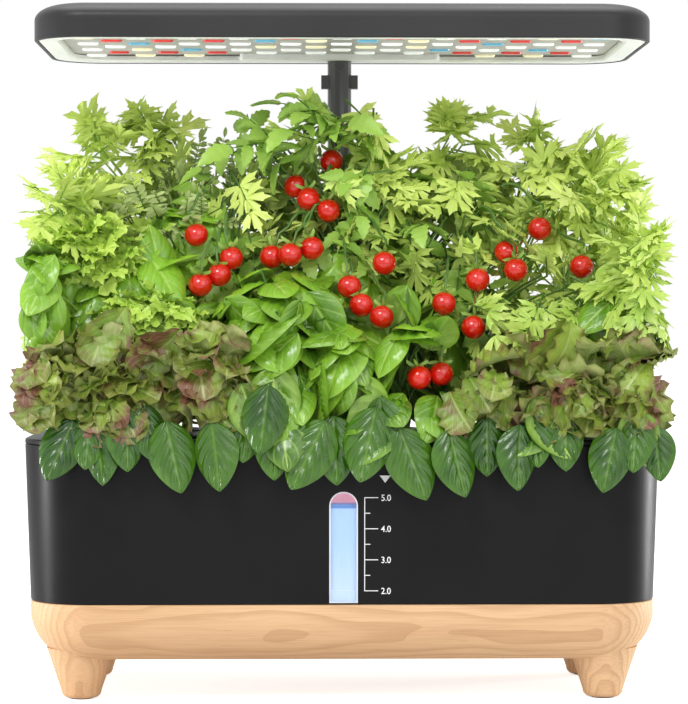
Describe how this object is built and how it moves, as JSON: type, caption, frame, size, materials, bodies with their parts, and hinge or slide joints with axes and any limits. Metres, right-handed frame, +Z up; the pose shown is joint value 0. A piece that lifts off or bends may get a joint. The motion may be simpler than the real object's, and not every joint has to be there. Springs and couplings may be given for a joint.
{
  "type": "countertop hydroponic garden",
  "caption": "Countertop hydroponic garden: a black water tank in a wood base on short legs, a planted deck of grow baskets, and a grow lamp on a telescopic mast.",
  "frame": {"origin": "centre of the footprint, on the surface that the garden stands on", "axes": "+Z up, +X to the right seen from the front, the water window faces -Y"},
  "size_m": [0.388, 0.216, 0.4088],
  "materials": {
    "light_oak": "satin light oak with straight grain",
    "tank_black": "fine spark-textured black",
    "lamp_black": "fine spark-textured black",
    "mast_black": "satin black paint",
    "clear_plastic": "clear polished plastic",
    "white_plastic": "white semi-gloss",
    "float_blue": "blue semi-gloss",
    "pump_grey": "moulded dark grey",
    "basket_grey": "moulded dark grey",
    "rubber": "matt black rubber",
    "steel": "bright zinc-plated steel",
    "led_lens": "silver-grey reflector with milky lenses",
    "circuit_board": "green solder mask",
    "basil_leaf": "glossy leaf",
    "lettuce_leaf": "soft leaf, green going brown-red",
    "cress_leaf": "soft light green leaf",
    "tomato_leaf": "matt leaf",
    "celery_leaf": "soft leaf"
  },
  "bodies": {
    "base": {"wood_base": "light_oak", "foot_pad_front_left": "rubber", "foot_pad_front_right": "rubber", "foot_pad_rear_left": "rubber", "foot_pad_rear_right": "rubber", "water_tank": "tank_black", "level_window": "clear_plastic", "sight_channel": "white_plastic"},
    "float": {"level_float": "float_blue"},
    "deck": {"grow_deck": "tank_black", "fill_cap_pin": "steel", "pump_body": "pump_grey", "pump_cover": "pump_grey", "pump_riser": "pump_grey", "pump_lead": "rubber", "mast_socket": "tank_black", "power_jack": "tank_black", "mast_lower_tube": "mast_black", "mast_collar": "mast_black", "grow_basket_01": "basket_grey", "grow_basket_02": "basket_grey", "grow_basket_03": "basket_grey", "grow_basket_04": "basket_grey", "grow_basket_05": "basket_grey", "grow_basket_06": "basket_grey", "grow_basket_07": "basket_grey", "grow_basket_08": "basket_grey", "grow_basket_09": "basket_grey", "grow_basket_10": "basket_grey", "grow_basket_11": "basket_grey", "grow_basket_12": "basket_grey", "grow_basket_13": "basket_grey", "lettuce_plant_1": "lettuce_leaf", "basil_plant_1": "basil_leaf", "basil_plant_2": "basil_leaf", "lettuce_plant_2": "lettuce_leaf", "cress_plant_1": "cress_leaf", "tomato_plant_1": "tomato_leaf", "tomato_plant_2": "tomato_leaf", "tomato_plant_3": "tomato_leaf", "celery_plant_1": "celery_leaf", "celery_plant_2": "celery_leaf", "cress_plant_2": "cress_leaf", "tall_basil_plant_1": "basil_leaf", "celery_plant_3": "celery_leaf"},
    "cap": {"fill_cap": "tank_black"},
    "impeller": {"pump_impeller": "white_plastic"},
    "lamp_head": {"mast_upper_tube": "mast_black", "neck_screw": "steel", "tab_spring": "steel", "lamp_shell": "lamp_black", "lamp_bezel": "white_plastic", "led_lens_plate": "led_lens", "led_board": "circuit_board", "control_board": "circuit_board"},
    "tab_left": {"lock_tab_left": "mast_black"},
    "tab_right": {"lock_tab_right": "mast_black"},
    "button_left": {"lamp_button_left": "lamp_black"},
    "button_middle": {"lamp_button_middle": "lamp_black"},
    "button_right": {"lamp_button_right": "lamp_black"}
  },
  "joints": [
    {"name": "float_level", "type": "slide", "parent": "base", "child": "float", "axis": [0, -0.034, 0.9994], "range_m": [-0.044, 0.006]},
    {"name": "deck_lift", "type": "slide", "parent": "base", "child": "deck", "axis": [0, 0, 1], "range_m": [0, 0.13]},
    {"name": "cap_hinge", "type": "hinge", "parent": "deck", "child": "cap", "pos_m": [0.14805, 0.0639, 0.1569], "axis": [-1, 0, 0], "range_deg": [0, 95]},
    {"name": "impeller_spin", "type": "hinge", "parent": "deck", "child": "impeller", "pos_m": [-0.128, 0.021, 0.0436], "axis": [0, 1, 0], "continuous": true},
    {"name": "lamp_height", "type": "slide", "parent": "deck", "child": "lamp_head", "axis": [0, 0, 1], "range_m": [-0.02, 0.09]},
    {"name": "tab_left_press", "type": "slide", "parent": "lamp_head", "child": "tab_left", "axis": [1, 0, 0], "range_m": [0, 0.0012], "stiffness_N_per_m": 800, "deforming": ["tab_spring"]},
    {"name": "tab_right_press", "type": "slide", "parent": "lamp_head", "child": "tab_right", "axis": [-1, 0, 0], "range_m": [0, 0.0012], "stiffness_N_per_m": 800, "deforming": ["tab_spring"]},
    {"name": "button_left_press", "type": "slide", "parent": "lamp_head", "child": "button_left", "axis": [0, 0, -1], "range_m": [0, 0.0008], "stiffness_N_per_m": 600},
    {"name": "button_middle_press", "type": "slide", "parent": "lamp_head", "child": "button_middle", "axis": [0, 0, -1], "range_m": [0, 0.0008], "stiffness_N_per_m": 600},
    {"name": "button_right_press", "type": "slide", "parent": "lamp_head", "child": "button_right", "axis": [0, 0, -1], "range_m": [0, 0.0008], "stiffness_N_per_m": 600}
  ]
}
